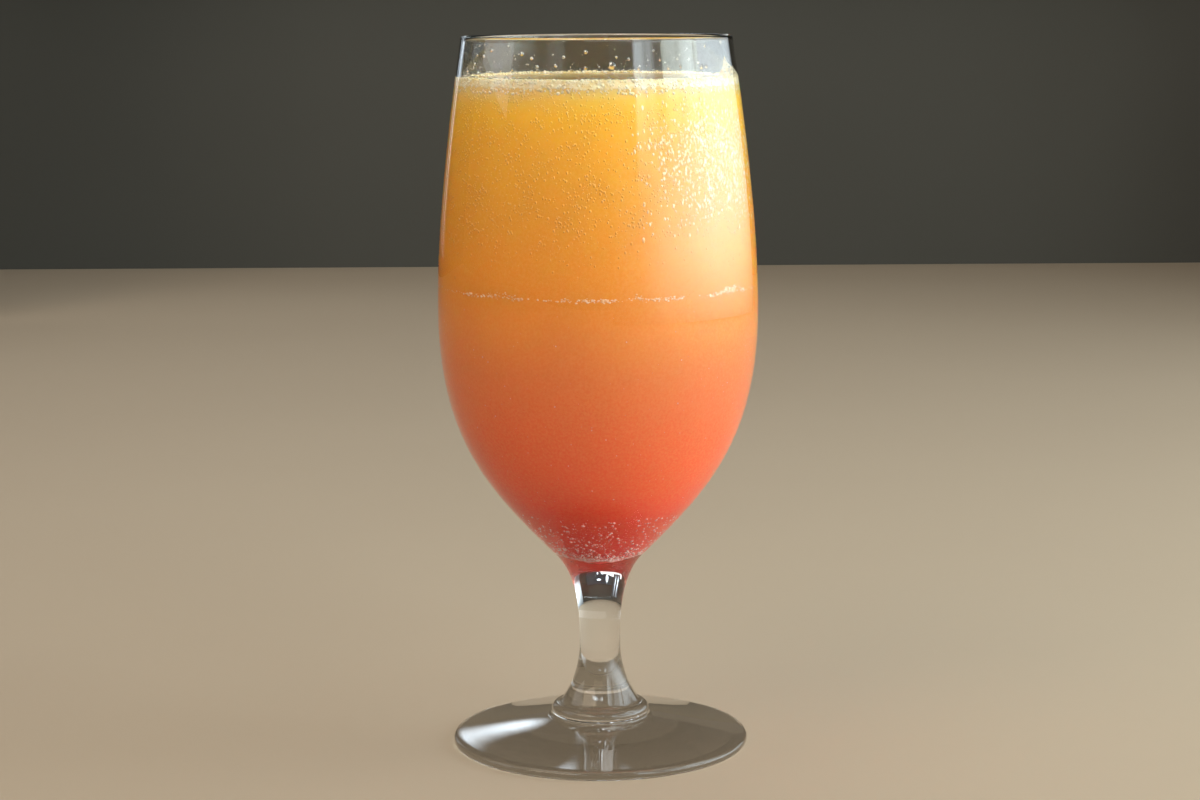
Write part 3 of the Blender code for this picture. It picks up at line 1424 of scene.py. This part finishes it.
    def wall_bubbles(self) -> bpy.types.Mesh:
        """Fine domes of froth against the wall, dense at the level and sparse below it.

        Returns:
            Their mesh.
        """
        draw = np.random.default_rng(self.seed + 1)
        swarm = Swarm(cap_template(sides=8))
        for _ in range(self.wall_count):
            azimuth = draw.uniform(-HALF_TURN, HALF_TURN)
            height = self.top - self.wall_start - self.wall_depth * draw.random() ** self.crowding
            if draw.random() > self.fullness + self.patchiness * self.lump(azimuth, height):
                continue
            size = between(*self.wall_sizes, draw.random() ** self.size_power)
            place, around, up, out = self.wall.frame_at(azimuth, height, self.into_wall)
            swarm.add(place, around * size, up * size, out * size * self.dome)
        return swarm.mesh("froth_wall_bubbles")

    def clear_bubbles(self) -> bpy.types.Mesh:
        """Larger clear bubbles in a row where the drink meets the wall, each a thin shell.

        Returns:
            Their mesh.
        """
        draw = np.random.default_rng(self.seed + 2)
        vertices, faces = ball_template(rings=8, sides=12)
        inner = faces[:, ::-1] + len(vertices)
        swarm = Swarm((np.vstack([vertices, vertices * self.clear_skin]), np.vstack([faces, inner])))
        for _ in range(self.clear_count):
            flat, around = directions(draw.uniform(-HALF_TURN, HALF_TURN))
            size = between(*self.clear_sizes, draw.random() ** self.size_power)
            height = self.level + between(*self.clear_rises, draw.random())
            edge = self.wall.at(height)[0]
            inwards = size + self.clear_gap + self.clear_reach * draw.random() ** self.clear_crowding
            place = flat * (edge - inwards) + Vector((0.0, 0.0, height))
            swarm.add(place, around * size, flat * -size, Vector((0.0, 0.0, size)))
        return swarm.mesh("froth_clear_bubbles")

    def build(self) -> None:
        """Build and dress the froth in place of its solid ring."""
        pale = FrothFinish().make()
        bed = add_piece(self.bed(), pale)
        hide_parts("froth")
        add_piece(self.fine_bubbles(), pale)
        add_piece(self.wall_bubbles(), pale)
        film = WetFilm("bubble_film", tint=(1.0, 0.97, 0.90), thick_tint=(0.98, 0.88, 0.66))
        add_piece(self.clear_bubbles(), film.make())


@dataclass
class FoamFilm:
    """A thin film of fine pale bubbles that has climbed the wall to a peak, on the right.

    Its outline gives its height at each angle.
    """

    wall: Wall
    seed: int = 71
    count: int = 900
    bottom: float = 178.6 * MM
    outline: tuple[Point, ...] = (
        (56.0, 179.0 * MM),
        (59.5, 180.4 * MM),
        (62.5, 181.8 * MM),
        (65.7, 184.6 * MM),
        (67.5, 183.6 * MM),
        (71.0, 182.2 * MM),
        (79.0, 180.6 * MM),
        (88.0, 179.0 * MM),
    )
    small: float = 0.10 * MM
    large: float = 0.32 * MM
    size_power: float = 2.0
    dome: float = 0.5
    into_wall: float = 0.05 * MM

    def build(self) -> None:
        """Build and dress the film."""
        draw = np.random.default_rng(self.seed)
        swarm = Swarm(cap_template(sides=7))
        angles, tops = zip(*self.outline)
        while len(swarm.places) < self.count:
            azimuth = draw.uniform(angles[0], angles[-1])
            height = draw.uniform(self.bottom, max(tops))
            if height > float(np.interp(azimuth, angles, tops)):
                continue
            size = between(self.small, self.large, draw.random() ** self.size_power)
            place, around, up, out = self.wall.frame_at(azimuth, height, self.into_wall)
            swarm.add(place, around * size, up * size, out * size * -self.dome)
        add_piece(swarm.mesh("foam_film"), FrothFinish("foam_film").make())


@dataclass(frozen=True)
class Drop:
    """One drop on the inside of the wall.

    Args:
        azimuth: Angle round the glass in degrees.
        height: Height above the foot's underside.
        width: Width of the drop.
    """

    azimuth: float
    height: float
    width: float


@dataclass
class Droplets:
    """Drops of thin juice that cling to the inside of the wall above the drink."""

    wall: Wall
    seed: int = 59
    drops: tuple[Drop, ...] = (
        Drop(-49.0, 186.7 * MM, 1.0 * MM),
        Drop(-32.0, 185.9 * MM, 1.1 * MM),
        Drop(-4.4, 186.4 * MM, 1.0 * MM),
        Drop(-4.4, 182.5 * MM, 0.9 * MM),
        Drop(-16.5, 182.9 * MM, 0.6 * MM),
        Drop(6.0, 183.0 * MM, 1.9 * MM),
        Drop(17.0, 182.2 * MM, 1.0 * MM),
        Drop(30.0, 182.2 * MM, 0.9 * MM),
        Drop(36.0, 182.5 * MM, 0.8 * MM),
        Drop(47.5, 182.2 * MM, 1.1 * MM),
        Drop(50.5, 182.3 * MM, 0.8 * MM),
    )
    specks: int = 170
    speck_bottom: float = 180.6 * MM
    speck_top: float = 188.1 * MM
    speck_crowding: float = 1.6
    speck_widths: Point = (0.18 * MM, 0.93 * MM)
    speck_width_power: float = 4.0
    into_hollow: float = 0.02 * MM
    tallness: float = 1.1
    bulge: float = 0.8

    def build(self) -> None:
        """Build and dress the drops, with finer ones scattered between them."""
        draw = np.random.default_rng(self.seed)
        scattered = [
            Drop(
                azimuth=draw.uniform(-HALF_TURN, HALF_TURN),
                height=between(self.speck_bottom, self.speck_top, draw.random() ** self.speck_crowding),
                width=between(*self.speck_widths, draw.random() ** self.speck_width_power),
            )
            for _ in range(self.specks)
        ]
        swarm = Swarm(ball_template(rings=8, sides=12))
        for drop in [*self.drops, *scattered]:
            place, around, up, out = self.wall.frame_at(drop.azimuth, drop.height, -self.into_hollow)
            half = drop.width / 2
            swarm.add(place, around * half, up * half * self.tallness, out * half * -self.bulge)
        film = WetFilm("juice_drops", tint=(1.0, 0.93, 0.78), thick_tint=(1.0, 0.86, 0.60))
        add_piece(swarm.mesh("juice_drops"), film.make())


# The studio.


class Aim(Enum):
    """Where a soft light looks."""

    BOWL = "bowl"
    DOWN = "down"


@dataclass(frozen=True)
class SoftLight:
    """A soft panel of light.

    Args:
        name: Name of the lamp.
        azimuth: Angle round the glass in degrees, from the camera's side to the right.
        distance: How far it stands from the axis of the glass.
        height: Height of its middle.
        size: Its width and height.
        radiance: How bright its face is.
        colour: Its colour.
        aim: Where it looks.
        mirrored: Whether it shows in glossy surfaces.
    """

    name: str
    azimuth: float
    distance: float
    height: float
    size: Point
    radiance: float
    colour: Colour
    aim: Aim
    mirrored: bool = True

    def build(self) -> None:
        """Put the panel in the scene, turned to its aim."""
        lamp = bpy.data.lights.new(self.name, "AREA")
        lamp.shape = "RECTANGLE"
        lamp.size, lamp.size_y = self.size
        lamp.energy = self.radiance * self.size[0] * self.size[1] * math.pi
        lamp.color = self.colour
        panel = new_object(self.name, lamp)
        flat, _ = directions(self.azimuth)
        place = flat * self.distance + Vector((0.0, 0.0, self.height))
        looks = {Aim.BOWL: BOWL_MIDDLE - place, Aim.DOWN: Vector((0.0, 0.0, -1.0))}
        panel.location = place
        panel.rotation_euler = looks[self.aim].to_track_quat("-Z", "Y").to_euler()
        panel.visible_glossy = self.mirrored


@dataclass(frozen=True)
class WindowPanel:
    """A curved panel of light on the right, divided like a window above and even below.

    The pairs give how bright it is at each angle round the glass.
    """

    distance: float = 1.0
    first_azimuth: float = 10.0
    last_azimuth: float = 145.0
    top: float = 1.3
    steps: int = 27
    even_below: float = 0.26
    divided_above: float = 0.42
    full_scale: float = 10.0
    strength: float = 0.92
    fade_height: float = 0.16
    fade_share: float = 0.18
    colour: Colour = (0.80, 0.93, 1.0)
    even: tuple[Point, ...] = (
        (10.0, 0.1),
        (16.0, 0.3),
        (29.0, 0.7),
        (38.0, 1.8),
        (48.0, 3.4),
        (63.0, 4.8),
        (73.0, 5.9),
        (90.0, 7.0),
        (103.0, 6.0),
        (118.0, 4.2),
        (132.0, 2.4),
        (145.0, 1.0),
    )
    divided: tuple[Point, ...] = (
        (29.0, 0.2),
        (31.5, 5.2),
        (36.0, 5.2),
        (40.0, 3.2),
        (44.0, 3.6),
        (49.0, 0.6),
        (54.0, 0.7),
        (58.0, 2.8),
        (66.0, 3.2),
        (69.0, 2.0),
        (74.0, 3.8),
        (78.0, 5.4),
        (85.0, 5.4),
        (87.0, 1.4),
        (90.0, 1.4),
        (92.0, 5.5),
        (104.0, 4.6),
        (113.0, 2.6),
        (121.0, 0.6),
        (134.0, 0.2),
    )

    def ramp(self, sheet: NodeSheet, turn: Socket, pairs: tuple[Point, ...]) -> Socket:
        """Brightness over the angle.

        Args:
            sheet: The material's nodes.
            turn: Angle round the glass, as a share of half a turn.
            pairs: Angles in degrees, each with its brightness.

        Returns:
            The brightness as a share of the full scale.
        """
        node = sheet.add("ShaderNodeValToRGB")
        elements = node.color_ramp.elements
        for index, (azimuth, radiance) in enumerate(pairs):
            position = azimuth / HALF_TURN
            element = elements[index] if index < 2 else elements.new(position)
            element.position = position
            grey = radiance / self.full_scale
            element.color = (grey, grey, grey, 1.0)
        sheet.link(turn, node.inputs[0])
        return node.outputs["Color"]

    def finish(self) -> bpy.types.Material:
        """Make the glowing material.

        Returns:
            The finished material.
        """
        sheet = NodeSheet("window_glow")
        place = sheet.add("ShaderNodeTexCoord")
        apart = sheet.add("ShaderNodeSeparateXYZ")
        sheet.link(place.outputs["Object"], apart.inputs[0])
        towards = sheet.add("ShaderNodeMath", operation="MULTIPLY")
        towards.inputs[1].default_value = -1.0
        sheet.link(apart.outputs["Y"], towards.inputs[0])
        angle = sheet.add("ShaderNodeMath", operation="ARCTAN2")
        sheet.link(apart.outputs["X"], angle.inputs[0])
        sheet.link(towards.outputs[0], angle.inputs[1])
        turn = sheet.ranged(angle.outputs[0], (0.0, math.pi), (0.0, 1.0))
        above = sheet.ranged(apart.outputs["Z"], (self.even_below, self.divided_above), (0.0, 1.0))
        glow = sheet.blend(above, self.ramp(sheet, turn, self.even), self.ramp(sheet, turn, self.divided))
        tinted = sheet.add("ShaderNodeMix", data_type="RGBA", blend_type="MULTIPLY")
        tinted.inputs["Factor"].default_value = 1.0
        sheet.link(glow, tinted.inputs[6])
        tinted.inputs[7].default_value = (*self.colour, 1.0)
        fade = sheet.ranged(apart.outputs["Z"], (0.0, self.fade_height), (self.fade_share, 1.0))
        power = sheet.add("ShaderNodeMath", operation="MULTIPLY")
        power.inputs[1].default_value = self.full_scale * self.strength
        sheet.link(fade, power.inputs[0])
        light = sheet.add("ShaderNodeEmission")
        sheet.link(power.outputs[0], light.inputs["Strength"])
        sheet.link(tinted.outputs[2], light.inputs["Color"])
        sheet.show(light)
        return sheet.material

    def build(self) -> None:
        """Put the panel in the scene."""
        vertices = []
        for step in range(self.steps + 1):
            turn = math.radians(between(self.first_azimuth, self.last_azimuth, step / self.steps))
            flat = (self.distance * math.sin(turn), -self.distance * math.cos(turn))
            vertices += [(*flat, 0.0), (*flat, self.top)]
        faces = [(2 * step, 2 * step + 1, 2 * step + 3, 2 * step + 2) for step in range(self.steps)]
        mesh = new_mesh("window_panel", vertices, faces)
        mesh.materials.append(self.finish())
        panel = new_object("window_panel", mesh)
        panel.visible_camera = False


@dataclass(frozen=True)
class Spot:
    """One soft round glow on the card.

    Args:
        across: Distance from the middle plane, to the right.
        height: Height of its middle.
        size: Half of its width and half of its height.
        radiance: How bright its middle is.
    """

    across: float
    height: float
    size: Point
    radiance: float


@dataclass(frozen=True)
class GlowCard:
    """A card with soft glows that only shows mirrored in the glass.

    Args:
        name: Name of the card.
        turn: Angle in degrees from straight behind the glass, to the left.
        distance: How far it stands from the axis of the glass.
        half_width: Half of its width.
        low: Height of its lower edge.
        high: Height of its upper edge.
        even: How bright it is between the glows.
        spots: Its glows, placed as seen from the glass.
        lights_matt: Whether it also lights matt surfaces.
        colour: Colour of its glows.
    """

    name: str
    turn: float
    distance: float
    half_width: float
    low: float
    high: float
    even: float
    spots: tuple[Spot, ...]
    lights_matt: bool = False
    colour: Colour = (0.80, 0.91, 1.0)

    def finish(self) -> bpy.types.Material:
        """Make the glowing material.

        Returns:
            The finished material.
        """
        sheet = NodeSheet(f"{self.name}_glow")
        place = sheet.add("ShaderNodeTexCoord")
        total: Socket | None = None
        for spot in self.spots:
            shift = sheet.add("ShaderNodeMapping")
            scale = (1.0 / spot.size[0], 0.0, 1.0 / spot.size[1])
            shift.inputs["Scale"].default_value = scale
            shift.inputs["Location"].default_value = (-spot.across * scale[0], 0.0, -spot.height * scale[2])
            sheet.link(place.outputs["Object"], shift.inputs["Vector"])
            length = sheet.add("ShaderNodeVectorMath", operation="LENGTH")
            sheet.link(shift.outputs["Vector"], length.inputs[0])
            glow = sheet.ranged(length.outputs["Value"], (1.0, 0.0), (0.0, spot.radiance), Easing.SOFT)
            add = sheet.add("ShaderNodeMath", operation="ADD")
            add.inputs[1].default_value = self.even
            sheet.link(glow, add.inputs[0])
            if total is not None:
                sheet.link(total, add.inputs[1])
            total = add.outputs[0]
        light = sheet.add("ShaderNodeEmission")
        light.inputs["Color"].default_value = (*self.colour, 1.0)
        sheet.link(total, light.inputs["Strength"])
        sheet.show(light)
        return sheet.material

    def build(self) -> None:
        """Put the card in the scene."""
        corners = rectangle(self.half_width, (self.distance, self.low), (self.distance, self.high))
        mesh = new_mesh(self.name, corners, [(0, 1, 2, 3)])
        mesh.materials.append(self.finish())
        card = new_object(self.name, mesh)
        card.rotation_euler.z = math.radians(self.turn)
        card.visible_camera = False
        card.visible_diffuse = self.lights_matt


@dataclass
class Studio:
    """Plain pale floor, plain backdrop, soft light and the camera."""

    floor_half_width: float = 3.0
    floor_front: float = -1.6
    backdrop_distance: float = 1.25
    backdrop_height: float = 2.2
    camera_place: Place = (0.0, -0.696, 0.2015)
    camera_down: float = 8.82
    camera_roll: float = -0.33
    camera_lens: float = 79.11
    camera_sensor: float = 36.0
    camera_shift: float = 0.0012
    camera_near: float = 0.01
    ambient: Colour = (0.060, 0.046, 0.028)

    def lights(self) -> tuple[SoftLight, ...]:
        """The soft lights round the glass; the window-like panel on the right is apart.

        Returns:
            The lights.
        """
        white, warm = (1.0, 0.99, 0.97), (1.0, 0.83, 0.64)
        sunny, tan = (0.88, 1.0, 0.84), (1.0, 0.78, 0.55)
        return (
            SoftLight("high_fill", -45.0, 1.05, 1.00, (0.9, 0.7), 2.9, warm, Aim.BOWL),
            SoftLight("overhead", 180.0, 0.15, 1.30, (1.2, 1.0), 1.6, white, Aim.DOWN),
            SoftLight("side_fill", -90.0, 0.90, 0.60, (0.6, 0.6), 1.2, white, Aim.BOWL),
            SoftLight("body_light", 74.0, 0.90, 0.24, (0.6, 0.44), 4.7, sunny, Aim.BOWL, mirrored=False),
            SoftLight("low_light", 15.0, 0.85, 0.10, (0.8, 0.16), 1.5, white, Aim.BOWL, mirrored=False),
            SoftLight("back_fill", -158.0, 1.10, 0.80, (0.8, 0.6), 1.6, white, Aim.BOWL, mirrored=False),
            SoftLight("room_glow", 0.0, 1.50, 1.35, (2.0, 1.3), 0.6, tan, Aim.BOWL),
        )

    def cards(self) -> tuple[GlowCard, ...]:
        """The cards whose glows show in the foot, the rim and the left edge of the glass.

        Returns:
            The cards.
        """
        foot_glows = (
            Spot(-0.215, 0.440, (0.050, 0.200), 6.0),
            Spot(-0.080, 0.800, (0.040, 0.200), 7.0),
            Spot(0.060, 0.780, (0.030, 0.200), 4.0),
            Spot(0.020, 0.362, (0.075, 0.034), 9.0),
        )
        edge_glows = (Spot(-0.045, 0.300, (0.030, 0.300), 3.2), Spot(0.055, 0.300, (0.022, 0.300), 2.4))
        sky_glows = (Spot(-0.350, 1.250, (0.500, 0.200), 14.0), Spot(0.450, 1.250, (0.400, 0.200), 14.0))
        return (
            GlowCard("foot_card", 0.0, 1.20, 0.42, 0.24, 1.02, 0.06, foot_glows, lights_matt=True),
            GlowCard("edge_card", 28.0, 1.00, 0.13, 0.06, 0.62, 0.10, edge_glows),
            GlowCard("sky_card", 180.0, 1.20, 1.00, 0.88, 1.62, 0.4, sky_glows),
        )

    def build_floor(self) -> None:
        """Make the plain floor and the plain backdrop behind it."""
        front, top = (self.floor_front, 0.0), (self.backdrop_distance, self.backdrop_height)
        corner = (self.backdrop_distance, 0.0)
        pale = StageFinish("pale_floor", light=(0.43, 0.345, 0.25), dark=(0.38, 0.30, 0.215))
        grey = StageFinish("grey_backdrop", light=(0.085, 0.080, 0.068), dark=(0.060, 0.056, 0.046))
        surfaces = (("studio_floor", front, corner, pale), ("studio_backdrop", corner, top, grey))
        for name, near, far, finish in surfaces:
            mesh = new_mesh(name, rectangle(self.floor_half_width, near, far), [(0, 1, 2, 3)])
            mesh.materials.append(finish.make())
            plane = new_object(name, mesh)

    def build_camera(self) -> None:
        """Make the camera at the photograph's viewing angle."""
        lens = bpy.data.cameras.new("camera")
        lens.lens = self.camera_lens
        lens.sensor_width = self.camera_sensor
        lens.shift_x = self.camera_shift
        lens.clip_start = self.camera_near
        camera = new_object("camera", lens)
        camera.location = self.camera_place
        camera.rotation_mode = "QUATERNION"
        tilt = Quaternion((1.0, 0.0, 0.0), math.radians(90.0 - self.camera_down))
        roll = Quaternion((0.0, 0.0, 1.0), math.radians(self.camera_roll))
        camera.rotation_quaternion = tilt @ roll
        bpy.context.scene.camera = camera

    def build_ambient(self) -> None:
        """Give the room its even light and the picture a plain tone curve."""
        world = bpy.data.worlds.new("studio_world")
        world.use_nodes = True
        world.node_tree.nodes["Background"].inputs["Color"].default_value = (*self.ambient, 1.0)
        bpy.context.scene.world = world
        bpy.context.scene.view_settings.view_transform = "Standard"

    def build(self) -> None:
        """Build the whole studio."""
        self.build_floor()
        self.build_ambient()
        self.build_camera()
        for light in self.lights():
            light.build()
        WindowPanel().build()
        for card in self.cards():
            card.build()
        log.info("studio: %d soft lights", len(self.lights()))


def main() -> None:
    """Build the glass, the drink and its bubbles, then the studio."""
    logging.basicConfig(level=logging.INFO, format="%(name)s %(message)s")
    form = GlassForm()
    wall = Wall(form)
    builders: tuple[Callable[[], None], ...] = (
        FootedGlass(form).build,
        Drink(wall).build,
        Froth(wall).build,
        WallBubbles(wall).build,
        TallBubblesPaintedGlints(wall).build,
        OldLevelLine(wall).build,
        BottomBubbles(wall).build,
        FoamFilm(wall).build,
        Droplets(wall).build,
        Studio().build,
    )
    for build in builders:
        build()


if __name__ == "__main__":
    main()
